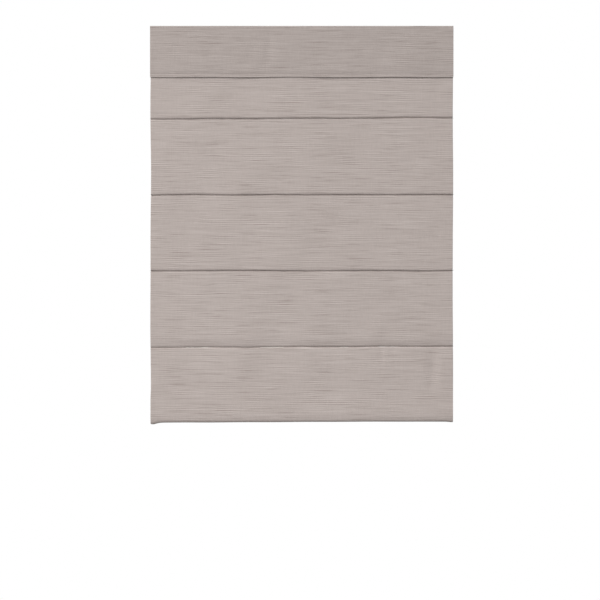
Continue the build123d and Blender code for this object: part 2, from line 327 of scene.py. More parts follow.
backingLook = {
    "shade": solidColour(0.66, 0.635, 0.585),
    "light": solidColour(0.74, 0.72, 0.67),
    "slubs": (24, 400, 7.0, 3.0, 0.6),
    "stipple": 900,
    "clouds": 6,
    "tone": {"clouds": 0.6, "slubs": 0.5, "stipple": 0.25},
    "relief": {"checks": 0.5, "slubs": 1.6, "stipple": 0.4},
    "bump": 0.08 * mm,
}

threadLook = {
    "shade": solidColour(0.36, 0.31, 0.285),
    "light": solidColour(0.46, 0.405, 0.375),
    "twist": 0.5 * mm,
    "bump": 0.05 * mm,
}


def angleAlong(length, pitch):
    return length * (2 * pi / pitch)


def streaks(finish, along, across, grain):
    stepAlong, stepAcross, *rest = grain
    return finish.grain(along * stepAlong, across * stepAcross, *rest)


def slubCloth(name, tone=1.0):
    finish = Finish(name)
    x, y, z = finish.axes
    grains = weave["grains"]
    drift = streaks(finish, x, z - y, grains["drift"]) - noiseMiddle
    weft = z - y + drift * weave["threadWander"]       # keeps counting rows where the cloth turns under
    thread = finish.stepped(weft, weave["threadPitch"])
    end = finish.stepped(x, weave["warpPitch"])
    rows = finish.sine(angleAlong(weft, weave["rowPitch"]) + drift * weave["rowDrift"] + weave["rowStart"])
    patches = finish.clamped(streaks(finish, x, weft, grains["patches"]), *weave["patchRange"])
    threads = finish.sine(angleAlong(weft, weave["threadPitch"]) - pi / 2)
    parts = {
        "rows": rows * patches,
        "slubs": streaks(finish, x, thread, grains["slubs"]) - noiseMiddle,
        "heavy": finish.clamped(streaks(finish, x, thread, grains["heavy"]), *weave["heavyRange"]),
        "ticks": streaks(finish, x, weft, grains["ticks"]) - noiseMiddle,
        "ends": streaks(finish, end, weft, grains["ends"]) - noiseMiddle,
        "clouds": finish.grainIn(weave["clouds"]) - noiseMiddle,
        "threads": threads,
        "checks": threads * finish.sine(angleAlong(x, weave["warpPitch"])),
    }
    level = finish.weighted(weave["tone"], parts, weave["level"])
    colour = finish.blended(level, weave["shade"], weave["light"])
    # painted shade: a tone below 1 darkens the whole colour
    shadedColour = finish.blended(1 - tone, colour, solidColour(0, 0, 0))
    height = finish.weighted(weave["relief"], parts)
    return finish.paint(Base_Color=shadedColour, Roughness=0.86 + parts["slubs"] * 0.12,
                        Normal=finish.bumped(height, weave["bump"]),
                        Sheen_Weight=0.12, Sheen_Roughness=0.5, Specular_IOR_Level=0.18)


def clothBacking():
    look = backingLook
    finish = Finish("clothBacking")
    x, y, z = finish.axes
    weft = z - y
    threads = finish.sine(angleAlong(weft, weave["threadPitch"]))
    parts = {
        "slubs": streaks(finish, x, weft, look["slubs"]) - noiseMiddle,
        "stipple": finish.grainIn(look["stipple"]) - noiseMiddle,
        "clouds": finish.grainIn(look["clouds"], 3.0),
        "checks": threads * finish.sine(angleAlong(x, weave["warpPitch"])),
    }
    colour = finish.blended(finish.weighted(look["tone"], parts), look["shade"], look["light"])
    height = finish.weighted(look["relief"], parts)
    return finish.paint(Base_Color=colour, Roughness=0.62 + parts["stipple"] * 0.15,
                        Normal=finish.bumped(height, look["bump"]), Specular_IOR_Level=0.3)


def stitchThread():
    look = threadLook
    finish = Finish("stitchThread")
    x, y, z = finish.axes
    twist = finish.sine(angleAlong(x + z, look["twist"]))
    colour = finish.blended(0.5 + twist * 0.3, look["shade"], look["light"])
    return finish.paint(Base_Color=colour, Roughness=0.7, Normal=finish.bumped(twist, look["bump"]))


slubFinish = slubCloth("slubCloth")
# the valance's copy of the cloth, with painted shade in its colour
valanceShadedFinish = slubCloth("slubClothValanceShaded", weave["valancePaintedShade"])
backingFinish = clothBacking()
threadFinish = stitchThread()
print("cloth finishes ready")


# Mesh helpers

def addPiece(name, points, faces, materials, numbers=None, normals=None):
    mesh = bpy.data.meshes.new(name)
    mesh.from_pydata(np.asarray(points).tolist(), [], faces)
    for material in materials:
        mesh.materials.append(material)
    if numbers is not None:
        mesh.polygons.foreach_set("material_index", np.asarray(numbers, np.int32))
    mesh.shade_smooth()
    if normals is None:
        mesh.set_sharp_from_angle(angle=radians(50))
    else:
        mesh.normals_split_custom_set_from_vertices(np.asarray(normals).tolist())
    mesh.update()
    piece = bpy.data.objects.new(name, mesh)
    bpy.context.scene.collection.objects.link(piece)
    return piece


def tube(path, radius, sides, closed=False):
    # rings of points along a path, the faces between them with end caps, and the outward normals
    path = np.asarray(path, float)
    count = len(path)
    if closed:
        ahead = np.roll(path, -1, 0) - np.roll(path, 1, 0)
    else:
        ahead = np.gradient(path, axis=0)
    ahead /= np.linalg.norm(ahead, axis=1)[:, None]
    sideways = np.cross(ahead[0], (0.31, 0.52, 0.79))     # a direction that no path follows
    points, normals = [], []
    for place, along in zip(path, ahead):
        sideways = sideways - along * sideways.dot(along)
        sideways /= np.linalg.norm(sideways)
        other = np.cross(along, sideways)
        for turn in np.arange(sides) * 2 * pi / sides:
            outward = sideways * cos(turn) + other * sin(turn)
            points.append(place + radius * outward)
            normals.append(outward)
    faces = []
    for ring in range(count if closed else count - 1):
        near, far = ring * sides, (ring + 1) % count * sides
        for side in range(sides):
            turn = (side + 1) % sides
            faces.append((near + side, near + turn, far + turn, far + side))
    if not closed:
        faces.append(tuple(range(sides - 1, -1, -1)))
        faces.append(tuple(range((count - 1) * sides, count * sides)))
    return np.array(points), faces, np.array(normals)


def joined(shapes):
    # several (points, faces, normals) as one, with the number of each face's shape
    points, faces, normals, numbers = [], [], [], []
    first = 0
    for number, (shapePoints, shapeFaces, shapeNormals) in enumerate(shapes):
        points.append(shapePoints)
        normals.append(shapeNormals)
        faces.extend(tuple(first + corner for corner in face) for face in shapeFaces)
        numbers.extend([number] * len(shapeFaces))
        first += len(shapePoints)
    return np.concatenate(points), faces, np.concatenate(normals), np.array(numbers)


def stitch(middle, along, out, length, radius):
    # one stitch, an arc of thread whose ends go into the cloth
    share = np.linspace(-1, 1, num=5)[:, None]
    lift = radius * (0.7 - 2.0 * share ** 4)
    path = np.array(middle) + np.array(along) * share * length / 2 + np.array(out) * lift
    return tube(path, radius, sides=5)


def ripple(x, z, seed, sizeX, sizeZ=1.0, waves=7, turns=(0.4, 1.3)):
    # a smooth uneven field between about -1 and 1, from a few seeded waves
    draw = np.random.default_rng(seed)
    total = 0.0
    for number in range(waves):
        turnX, turnZ = draw.uniform(*turns, 2) * draw.choice((-1, 1), 2)
        phase = draw.uniform(0, 2 * pi)
        total = total + np.sin(2 * pi * (x / sizeX * turnX + z / sizeZ * turnZ) + phase)
    return total / np.sqrt(waves)


def swell(value, middle, width):
    return np.exp(-((value - middle) / width) ** 2)


def smoothStep(value, low, high):
    share = np.clip((value - low) / (high - low), 0, 1)
    return share * share * (3 - 2 * share)


# Folded sheets: a path of straight runs and bends seen from the side, swept across the width

def walk(start, heading, moves):
    # moves are (turn in degrees, length or radius, steps, label); gives rows, front normals and labels
    place, angle = np.array(start, float), radians(heading)
    rows, fronts, labels = [place], [(sin(angle), -cos(angle))], []
    for turn, size, steps, label in moves:
        begin, first = place, angle
        side = np.sign(turn)
        centre = begin + np.array((-sin(first), cos(first))) * side * size
        for step in np.arange(1, steps + 1) / steps:
            angle = first + radians(turn) * step
            if turn:
                place = centre + np.array((sin(angle), -cos(angle))) * side * size
            else:
                place = begin + np.array((cos(first), sin(first))) * size * step
            rows.append(place)
            fronts.append((sin(angle), -cos(angle)))
            labels.append(label)
    return np.array(rows), np.array(fronts), labels


def straight(length, rowStep, label):
    return 0, length, max(2, round(length / rowStep)), label


def loopAcross(halfWidth, hemInner, thick, hemThick, columns, backColumns):
    # once round the cloth's section: x and depth behind the front, and 1 where the backing shows
    radius = hemThick / 2
    flat = halfWidth - radius
    steps = 6                        # round the outer edge
    turn = np.arange(1, steps) * pi / steps
    edge = np.stack([flat + radius * np.sin(turn), radius * (1 - np.cos(turn))], 1)
    front = np.stack([np.linspace(-flat, flat, columns), np.zeros(columns)], 1)
    hem = [(flat - (flat - hemInner) * share, hemThick) for share in np.linspace(0, 1, num=7)]
    # its edge steps down to the single cloth
    for inwards, share in ((0.3 * mm, 0.7), (0.4 * mm, 0.1)):
        hem.append((hemInner - inwards, thick + share * (hemThick - thick)))
    inner = hemInner - 1.0 * mm
    back = np.stack([np.linspace(inner, -inner, backColumns), np.full(backColumns, thick)], 1)
    mirror = np.array((-1, 1))
    loop = np.concatenate([front, edge, hem, back, np.array(hem)[::-1] * mirror, edge[::-1] * mirror])
    backing = np.zeros(len(loop), int)
    first = columns + len(edge) + len(hem) - 1
    backing[first:first + backColumns + 1] = 1
    return loop, backing


def swept(rows, fronts, across):
    # a grid of rows by columns by xyz: the section laid along the path
    places = rows[:, None, :] - fronts[:, None, :] * across[:, :, 1:]
    return np.concatenate([across[:, :, :1], places], 2)


def surfaceNormals(grid):
    # the grid is closed across its columns
    down = np.gradient(grid, axis=0)
    across = np.roll(grid, -1, 1) - np.roll(grid, 1, 1)
    normal = np.cross(down, across)
    return normal / np.maximum(np.linalg.norm(normal, axis=2), 1e-15)[:, :, None]


def skin(grid, normals):
    # a closed skin over rows of the grid, capped at its two ends
    rows, columns = grid.shape[:2]
    index = np.arange(rows * columns).reshape(rows, columns)
    ahead = np.roll(index, -1, 1)
    quads = np.stack([index[:-1], index[1:], ahead[1:], ahead[:-1]], 2).reshape(-1, 4)
    faces = quads.tolist() + [index[0].tolist(), index[-1, ::-1].tolist()]
    return grid.reshape(-1, 3), faces, normals.reshape(-1, 3)


def pathLength(rows):
    return float(np.linalg.norm(np.diff(rows, axis=0), axis=1).sum())


print("mesh helpers ready")


# Face cloth: heading, five panels, a tuck round each rib, and the hem round the bottom bar

fold = {
    "thickness": 0.9 * mm,
    "sideHem": 28.0 * mm,            # turned back along each side
    "sideHemThickness": 2.0 * mm,
    "sideHemEnds": (3.0 * mm, 18.0 * mm),    # above the hem, where the turned sides thin out
    "upperLip": 4.5 * mm,            # the cloth bulges more above a crease than below it
    "lowerLip": 3.2 * mm,
    "tuckGap": 1.8 * mm,
    "ribRoom": 0.3 * mm,
    "tuckMargin": 9.0 * mm,          # flat cloth that stays with its rib when the panels close up
    "hemMargin": 4.0 * mm,
    "hemSlope": 50.0,
    "hemSeam": 7.0 * mm,
    "layerGap": 0.2 * mm,
    "rowStep": 4.0 * mm,
    "marginSteps": 3,
    "lipSteps": 9,
    "runSteps": 4,
    "foldSteps": 12,
    "rollSteps": 22,
    "slopeSteps": 6,
    "frontColumns": 171,
    "backColumns": 61,
    "frontFade": (2.4 * mm, 7.5 * mm),   # behind the front, where the hang of the cloth dies away
    "looseBelow": (0.045, 0.110),
    "barFade": (-8.0 * mm, 26.0 * mm),   # above the hem, where the bar stops holding the cloth flat
    # depth, seed, size across and down
    "ripples": ((0.45 * mm, 4, 0.21, 0.47), (0.16 * mm, 9, 0.061, 0.115)),
    # soft dents: x, z, width, height, depth
    "dents": (
        (0.333, -0.885, 0.016, 0.065, 2.2 * mm),
        (0.232, -0.826, 0.010, 0.014, 1.2 * mm),
        (0.203, -0.834, 0.009, 0.030, 1.3 * mm),
        (-0.215, -0.330, 0.040, 0.075, 0.8 * mm),
        (0.120, -0.545, 0.060, 0.060, 0.7 * mm),
        (-0.300, -0.735, 0.030, 0.085, 0.8 * mm),
    ),
    "pinch": 0.75,                   # how far the seam of a tuck draws its two layers together
    "pinchFrom": 1.6 * mm,           # behind the front
    "pinchEnd": (-0.7 * mm, -0.1 * mm),  # at the front edge of the rib
    "pinchHeight": (4.0 * mm, 6.0 * mm),
    # height, first seed and size across of the waves in a crease
    "creaseWander": ((0.45 * mm, 20, 0.26), (0.18 * mm, 30, 0.07)),
    "creaseSet": (0.0 * mm, -1.5 * mm, -1.8 * mm, -2.6 * mm),    # above the middle of the rib
    "creaseLean": (3.4 * mm, 0.6 * mm, 0.2 * mm, 3.6 * mm),      # right end above the left end
    "creaseFade": (3.0 * mm, 13.0 * mm),     # none is left where a panel begins, so panels close up cleanly
    "creaseCurl": (0.5 * mm, 0.5 * mm, 0.6 * mm, 2.9 * mm),      # the cloth leans in above a crease
    "curlDrop": 5.0 * mm,
    "curlReach": 10.0 * mm,
    "lowerSqueeze": (0.5, 0.5, 0.5, 0.15),   # the lip below a crease is a tighter fold than its bend
    "squeezeFade": 8.0 * mm,
    "setBack": (1.3 * mm, 1.7 * mm, 1.7 * mm, 3.2 * mm),         # the cloth below starts behind the lip
    "setBackReach": 60.0 * mm,
    "valanceBack": 0.6 * mm,         # and behind the valance
    "valanceReach": 80.0 * mm,
    "hemSag": (0.7 * mm, 2.4 * mm),  # all along, and more at the left corner
    "sagStart": 0.6,                 # share of the right half where the sag to the left begins
    "sagWander": (0.3 * mm, 41, 0.19),
    # inwards from the left and right end, width and drop
    "cornerDroop": ((-6.0 * mm, 12.0 * mm, 4.2 * mm), (4.0 * mm, 8.0 * mm, 1.2 * mm)),
    "hemBelly": (0.5 * mm, 1.7 * mm),    # how far the hem bulges over the bar, left and right
    "bellyReach": (70.0 * mm, 9.0 * mm, -4.0 * mm),  # above the roll: it begins, is fullest, and ends
    "edgeWander": 0.7 * mm,
    "edgeWave": (51, 0.33, 3.1),
    "edgePull": 0.4,                 # the sides are drawn in more than out
    "edgeReach": 60.0 * mm,
    "stitch": (3.0 * mm, 0.22 * mm),     # length and radius
    "stitchPitch": 6.0 * mm,
    "stitchInset": 2.0 * mm,         # from the inner edge of the turned sides
    "stitchClear": 3.0 * mm,         # from the ends of a panel
    "seamEnds": (22.0 * mm, 4.0 * mm),   # above the hem and below the top
    "seamClear": 8.0 * mm,           # from the flat cloth of a tuck
}

ribCount = 4
clothLow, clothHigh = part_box("face_cloth")
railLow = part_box("headrail")[0]
barLow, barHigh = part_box("bottom_bar")
ribBoxes = [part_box("rib_%d" % number) for number in range(1, ribCount + 1)]
ribHeights = [(low.z + high.z) / 2 for low, high in ribBoxes]
ribFront, ribBack = ribBoxes[0][0].y, ribBoxes[0][1].y
valanceLow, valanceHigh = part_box("valance")
clothFront = clothLow.y
halfCloth = clothHigh.x
hemRadius = (barLow.y + barHigh.y) / 2 - clothFront
rollHeight = clothLow.z + hemRadius
barRun = (barHigh.z - barLow.z) - (barHigh.y - barLow.y)
liftTravel = frame["joints"][0]["range_m"][1]
liftShares = {row["joint"]: row["ratio"] for row in frame["record"]["behaviour"]["couplings"]}


def clothPath():
    margin, gap = fold["tuckMargin"], fold["tuckGap"] / 2
    upper, lower = fold["upperLip"], fold["lowerLip"]
    tuckRun = ribBack + fold["ribRoom"] - clothFront - upper
    hemStep = 2 * hemRadius - 2 * fold["thickness"] - fold["layerGap"]
    slope = fold["hemSlope"]
    hemBend = hemStep / (2 * (1 - cos(radians(slope))))
    hemTop = rollHeight + barRun + 2 * hemBend * sin(radians(slope)) + fold["hemSeam"]
    ends, lips, runs, step = fold["marginSteps"], fold["lipSteps"], fold["runSteps"], fold["rowStep"]
    moves = [straight(clothHigh.z - railLow.z, step, "heading")]
    here = railLow.z
    for number, height in enumerate(ribHeights, 1):
        label = "tuck_%d" % number
        above = height + gap + upper + margin
        moves += [straight(here - above, step, "panel_%d" % number),
                  (0, margin, ends, label), (90, upper, lips, label),
                  (0, tuckRun, runs, label), (-180, gap, fold["foldSteps"], label),
                  (0, tuckRun + upper - lower, runs, label),
                  (90, lower, lips, label), (0, margin, ends, label)]
        here = height - gap - lower - margin
    above = hemTop + fold["hemMargin"]
    moves += [straight(here - above, step, "panel_%d" % (ribCount + 1)),
              straight(above - rollHeight, step, "hem"), (180, hemRadius, fold["rollSteps"], "hem"),
              straight(barRun, step, "hem"), (slope, hemBend, fold["slopeSteps"], "hem"),
              (-slope, hemBend, fold["slopeSteps"], "hem"), (0, fold["hemSeam"], ends, "hem")]
    return *walk((clothFront, clothHigh.z), -90, moves), hemTop


def hangDepth(x, z):
    # how far ripples, dents and creases set the free cloth back
    depth = sum(deep * ripple(x, z, *size) for deep, *size in fold["ripples"])
    for middleX, middleZ, width, height, deep in fold["dents"]:
        depth += deep * swell(x, middleX, width) * swell(z, middleZ, height)
    for height, curl, back in zip(ribHeights, fold["creaseCurl"], fold["setBack"]):
        lipTop = height + fold["tuckGap"] / 2 + fold["upperLip"]
        depth += curl * swell(z, lipTop - fold["curlDrop"], fold["curlReach"]) * (z > height)
        depth += back * np.exp(np.minimum(z - height, 0) / fold["setBackReach"]) * (z < height)
    depth += fold["valanceBack"] * np.exp(np.minimum(z - valanceLow.z, 0) / fold["valanceReach"])
    return depth


def hemBulge(x, z):
    top, full, end = fold["bellyReach"]
    belly = np.interp(x / halfCloth, (-1, 1), fold["hemBelly"])
    belly = belly * smoothStep(rollHeight + top - z, 0.0, top - full)
    return belly * (1 - smoothStep(rollHeight + full - z, 0.0, full - end))


def creaseShift(x, z):
    # how far the creases wander up and down
    lipDrop = fold["lowerLip"]
    shift = 0.0
    for height, squeeze in zip(ribHeights, fold["lowerSqueeze"]):
        below = height - fold["tuckGap"] / 2 - z
        flatter = squeeze * np.clip(below, 0, lipDrop)
        shift = shift + flatter * (1 - smoothStep(below, lipDrop, lipDrop + fold["squeezeFade"]))
    creases = zip(ribHeights, fold["creaseSet"], fold["creaseLean"])
    for number, (height, place, lean) in enumerate(creases):
        wander = place + lean * x / halfCloth / 2
        for high, seed, size in fold["creaseWander"]:
            wander = wander + high * ripple(x, 0.0, seed + number, size)
        shift = shift + wander * (1 - smoothStep(np.abs(z - height), *fold["creaseFade"]))
    return shift


def hemSag(x):
    sagAll, sagLeft = fold["hemSag"]
    high, seed, size = fold["sagWander"]
    sag = sagAll + sagLeft * smoothStep(-x, -fold["sagStart"] * halfCloth, halfCloth)
    sag = sag + high * ripple(x, 0.0, seed, size)
    for inset, width, drop in fold["cornerDroop"]:
        sag += drop * swell(x, np.sign(inset) * halfCloth - inset, width)
    return sag


def hangCloth(points, hemTop):
    # how the real cloth hangs: soft ripples, creases that wander, and a hem that sags at one corner
    x, y, z = (points[..., axis].copy() for axis in range(3))
    inFront = 1 - smoothStep(y - clothFront, *fold["frontFade"])
    onBar = 1 - smoothStep(z - hemTop, *fold["barFade"])
    loose = inFront * (1 - onBar) * smoothStep(-z, *fold["looseBelow"])
    points[..., 1] += hangDepth(x, z) * loose - hemBulge(x, z) * inFront
    # each tuck is sewn shut between its lips and its rib
    sewn = smoothStep(y - clothFront, fold["pinchFrom"], fold["upperLip"])
    sewn *= 1 - smoothStep(y - ribFront, *fold["pinchEnd"])
    for height in ribHeights:
        inTuck = 1 - smoothStep(np.abs(z - height), *fold["pinchHeight"])
        points[..., 2] -= fold["pinch"] * (z - height) * sewn * inTuck
    points[..., 2] += creaseShift(x, z) * inFront - hemSag(x) * np.clip((rollHeight - z) / hemRadius, 0, 1)
    nearEdge = smoothStep(np.abs(x), halfCloth - fold["edgeReach"], halfCloth)
    pull = fold["edgeWander"] * (ripple(z, np.sign(x), *fold["edgeWave"]) - fold["edgePull"])
    points[..., 0] += np.sign(x) * pull * nearEdge * (1 - onBar)
    return points


def sideStitches(hemTop):
    # the seam of the turned sides, on the back of the cloth: (height, shape) down both sides
    seam = halfCloth - fold["sideHem"] + fold["stitchInset"]
    back = clothFront + fold["sideHemThickness"]
    aboveHem, belowTop = fold["seamEnds"]
    found = []
    for side in (-1, 1):
        for height in np.arange(hemTop + aboveHem, clothHigh.z - belowTop, fold["stitchPitch"]):
            clear = min(abs(height - rib) for rib in ribHeights)
            if clear > fold["tuckMargin"] + fold["seamClear"]:
                sewn = stitch((side * seam, back, height), (0, 0, 1), (0, 1, 0), *fold["stitch"])
                found.append((height, sewn))
    return found


def tuckStitches(height):
    # the line that holds a tuck shut in front of its rib, seen on the tuck's two faces
    seam = (ribFront + clothFront + fold["upperLip"]) / 2
    reach = fold["tuckGap"] / 2 + fold["thickness"]
    inner = halfCloth - fold["sideHem"] - fold["stitchInset"]
    return [stitch((x, seam, height + side * reach), (1, 0, 0), (0, 0, side), *fold["stitch"])
            for side in (-1, 1) for x in np.arange(-inner, inner, fold["stitchPitch"])]


def makeFaceCloth():
    rows, fronts, labels, hemTop = clothPath()
    (plain, backing), (turned, backing) = [
        loopAcross(halfCloth, halfCloth - fold["sideHem"], fold["thickness"], edge,
                   fold["frontColumns"], fold["backColumns"])
        for edge in (fold["thickness"], fold["sideHemThickness"])]
    hemmed = np.array([label != "hem" for label in labels[:1] + labels])
    hemmed = hemmed * smoothStep(rows[:, 1] - hemTop, *fold["sideHemEnds"])
    across = plain + (turned - plain) * hemmed[:, None, None]
    grid = hangCloth(swept(rows, fronts, across), hemTop)
    normals = surfaceNormals(grid)
    stitches = sideStitches(hemTop)
    clear = fold["stitchClear"]
    pieces = {}
    for label in dict.fromkeys(labels):
        first = labels.index(label)
        last = first + labels.count(label) + 1
        low, high = rows[last - 1, 1], rows[first, 1]
        sewn = [shape for height, shape in stitches if low + clear < height < high - clear]
        if label.startswith("tuck"):
            sewn = tuckStitches(ribHeights[int(label[-1]) - 1])
        body = skin(grid[first:last], normals[first:last])
        shapes = [body] + [(hangCloth(points, hemTop), faces, out) for points, faces, out in sewn]
        points, faces, outward, owner = joined(shapes)
        numbers = np.where(owner > 0, 2, 0)
        # below its seam, the hem shows the right side of the cloth all round
        backed = (rows[first:last - 1, 1] > hemTop - fold["hemSeam"])[:, None] * backing
        numbers[:backed.size] = backed.ravel()
        piece = addPiece("face_cloth_" + label, points, faces, [slubFinish, backingFinish, threadFinish],
                         numbers, outward)
        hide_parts("face_cloth")
        flat = (2 * (halfCloth + fold["sideHem"]), pathLength(rows[first:last]))
        pieces[label] = piece, flat, high, low
    return pieces, hemTop


def liftOf(number):
    # how far a rib rises: 0 is the headrail, and the number after the last rib is the bottom rail
    if number > ribCount:
        return liftTravel
    return liftTravel * liftShares["rib_%d_lift" % number] if number else 0.0


def hangFaceCloth(pieces):
    for label, (piece, flat, high, low) in pieces.items():
        number = int(label[-1]) if label[-1].isdigit() else 0
        if label.startswith("panel"):
            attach(piece, "rib_%d" % (number - 1) if number > 1 else "headrail")
            closing = liftOf(number) - liftOf(number - 1)
            1 - closing / (high - low)
            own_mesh(piece)
            rests = "rib_%d" % (number - 1) if number > 1 else "loop_tape"
        elif label.startswith("tuck"):
            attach(piece, "rib_%d" % number)
            rests = "rib_%d" % number
        else:
            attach(piece, "bottom_rail" if label == "hem" else "headrail")
            rests = "bottom_bar" if label == "hem" else "loop_tape"
        "folded" if label[:4] == "tuck" else "hung"


clothPieces, hemTop = makeFaceCloth()
hangFaceCloth(clothPieces)
print("face cloth ready:", len(clothPieces), "pieces")


# Valance: a separate strip of the same cloth over the top, with its own hem

valanceLook = {
    "thickness": 0.9 * mm,
    "sideThickness": 0.918 * mm,     # hardly turned at its sides
    "sideHem": 20.0 * mm,
    "layerGap": 0.2 * mm,
    "tail": 30.0 * mm,               # hangs down behind the crown
    "hem": 14.0 * mm,
    "rowStep": 3.0 * mm,
    "crownSteps": 14,
    "bendSteps": 12,
    "frontColumns": 171,
    "backColumns": 41,
    "frontFade": (2.2 * mm, 2.8 * mm),
    "looseBelow": (12.0 * mm, 60.0 * mm),
    "room": 1.2 * mm,                # in front of the cloth behind it
    "roomGive": 0.35,
    "ripples": ((0.4 * mm, 61, 0.24, 0.31), (0.15 * mm, 62, 0.055, 0.09)),
    "seam": 7.5 * mm,                # stitch line above the lower edge
    "seamWidth": 3.8 * mm,
    "seamSpread": 2.1,               # the hem comes forward more slowly below its seam
    "seamDimple": 1.3 * mm,
    "hemSwell": 0.12 * mm,
    "hemSwellHeight": 3.8 * mm,
    "edgeWander": (0.3 * mm, 71, 0.2),
    "edgeReach": 30.0 * mm,
    "stitchPitch": 4.2 * mm,
    "stitch": (2.9 * mm, 0.2 * mm),
    "seamEnds": 6.0 * mm,
    "dents": (
        (-0.083, -0.054, 0.012, 0.036, 1.4 * mm),
        (0.210, -0.075, 0.030, 0.040, 0.6 * mm),
    ),
}
seamHeight = valanceLow.z + valanceLook["seam"]


def hangValance(points):
    look = valanceLook
    x, z = points[..., 0].copy(), points[..., 2].copy()
    inFront = 1 - smoothStep(points[..., 1] - valanceLow.y, *look["frontFade"])
    loose = smoothStep(valanceHigh.z - z, *look["looseBelow"])
    depth = sum(deep * ripple(x, z, *size) for deep, *size in look["ripples"])
    seamReach = np.where(z > seamHeight, 1.0, look["seamSpread"]) * look["seamWidth"]
    depth = depth * loose + look["seamDimple"] * swell(z, seamHeight, seamReach)
    depth -= look["hemSwell"] * swell(z, (seamHeight + valanceLow.z) / 2, look["hemSwellHeight"])
    for middleX, middleZ, width, height, deep in look["dents"]:
        depth += deep * swell(x, middleX, width) * swell(z, middleZ, height)
    # stays in front of the cloth behind it
    room = look["room"]
    points[..., 1] += np.minimum(depth, room + look["roomGive"] * (depth - room)) * inFront
    high, seed, size = look["edgeWander"]
    lowEdge = smoothStep(-z, -seamHeight - look["edgeReach"], -valanceLow.z)
    points[..., 2] += high * ripple(x, 0.0, seed, size) * lowEdge * inFront
    return points


def makeValance():
    look = valanceLook
    low, high = valanceLow, valanceHigh
    thick, step = look["thickness"], look["rowStep"]
    backFace = clothFront - look["layerGap"]
    crown = (backFace - low.y) / 2
    bend = thick + look["layerGap"] / 2
    crownHeight = high.z - crown
    moves = [straight(look["tail"], step, "tail"), (180, crown, look["crownSteps"], "crown"),
             straight(crownHeight - low.z - bend, step, "front"),
             (180, bend, look["bendSteps"], "fold"), straight(look["hem"] - bend, step, "hem")]
    rows, fronts = walk((backFace, crownHeight - look["tail"]), 90, moves)[:2]
    loop, backing = loopAcross(high.x, high.x - look["sideHem"], thick, look["sideThickness"],
                               look["frontColumns"], look["backColumns"])
    grid = hangValance(swept(rows, fronts, np.broadcast_to(loop, (len(rows),) + loop.shape)))
    points, faces, normals = skin(grid, surfaceNormals(grid))
    numbers = np.zeros(len(faces), int)
    numbers[:len(faces) - 2] = np.tile(backing, len(rows) - 1)
    piece = addPiece("valance_cloth", points, faces, [valanceShadedFinish, backingFinish], numbers, normals)
    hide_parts("valance")
    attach(piece, "headrail")
    inner = high.x - look["seamEnds"]
    sewn = [stitch((x, low.y, seamHeight), (1, 0, 0), (0, -1, 0), *look["stitch"])
            for x in np.arange(-inner, inner, look["stitchPitch"])]
    points, faces, normals = joined(sewn)[:3]
    seam = addPiece("valance_stitches", hangValance(points), faces, [threadFinish], None, normals)
    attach(seam, "headrail")


makeValance()
print("valance ready")


# Lift cords: wound on the spools, hanging through the rings, knotted under the anchors

cordLook = {
    "radius": 0.6 * mm,
    "turns": 3.5,
    "turnPitch": 1.35 * mm,
    "splitAbove": 6.0 * mm,          # above the anchor, where the hanging length ends
    "knotSize": 0.36 * mm,
    "knotDepth": 1.4,
    "knotDrop": 4.4 * mm,
    "tailLength": 7.0 * mm,
    "tailLean": (0.9 * mm, 1.4 * mm),    # sideways and backwards
    "shade": solidColour(0.60, 0.585, 0.54),
    "light": solidColour(0.80, 0.79, 0.75),
    "plaitPitch": 2.6 * mm,
    "plaits": 4,
    "fuzz": 2600,
    "bump": 0.12 * mm,
}

ringLow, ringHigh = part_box("cord_rings_1")
anchorLow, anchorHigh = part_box("cord_anchor_right")
shaftLow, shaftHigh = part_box("lift_shaft")
cordX = (anchorLow.x + anchorHigh.x) / 2
cordY = (ringLow.y + ringHigh.y) / 2
barHeight = (barLow.z + barHigh.z) / 2
shaftY, shaftZ = (shaftLow.y + shaftHigh.y) / 2, (shaftLow.z + shaftHigh.z) / 2


def braidedCord():
    look = cordLook
    finish = Finish("braidedCord")
    x, y, z = finish.axes
    outward = finish.add("ShaderNodeMath", {"operation": "ABSOLUTE"}, {0: x}) - cordX
    angle = finish.add("ShaderNodeMath", {"operation": "ARCTAN2"}, {0: y - cordY, 1: outward})
    climb = angleAlong(z, look["plaitPitch"])
    around = angle * look["plaits"]
    plaits = finish.sine(climb + around) * finish.sine(climb - around)
    fuzz = finish.grainIn(look["fuzz"]) - noiseMiddle
    colour = finish.blended(0.55 + plaits * 0.4 + fuzz * 0.4, look["shade"], look["light"])
    return finish.paint(Base_Color=colour, Roughness=0.75 + fuzz * 0.2,
                        Normal=finish.bumped(plaits + fuzz * 0.4, look["bump"]))


